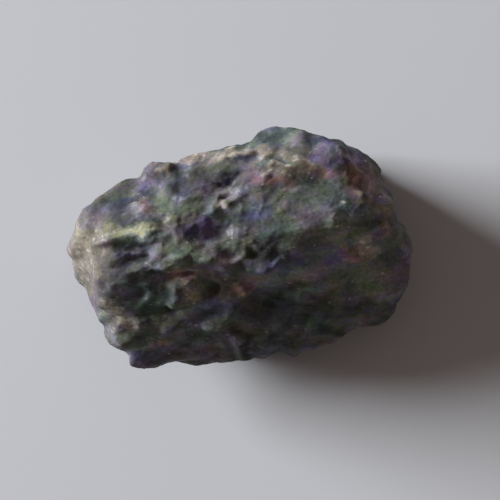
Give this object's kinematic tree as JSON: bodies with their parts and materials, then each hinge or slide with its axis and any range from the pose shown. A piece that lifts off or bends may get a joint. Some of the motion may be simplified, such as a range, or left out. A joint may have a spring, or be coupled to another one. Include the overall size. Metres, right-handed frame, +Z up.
{
  "type": "rough iolite stone",
  "caption": "Rough, uncut lump of violet-grey iolite, blocky and longer than it is wide, with ledges, pits and broken grains, lying on its flat broken base.",
  "frame": {"origin": "middle of the stone's footprint, on the surface that it rests on", "axes": "+X along the stone's length, towards its right end as seen from the front; +Y towards its back; +Z up"},
  "size_m": [0.0412, 0.0286, 0.0181],
  "materials": {
    "stone": "rough broken stone, violet-grey and dark green with cream and rust-brown crusts, glassy on its violet grains"
  },
  "bodies": {
    "root": {"stone": "stone"}
  },
  "joints": []
}
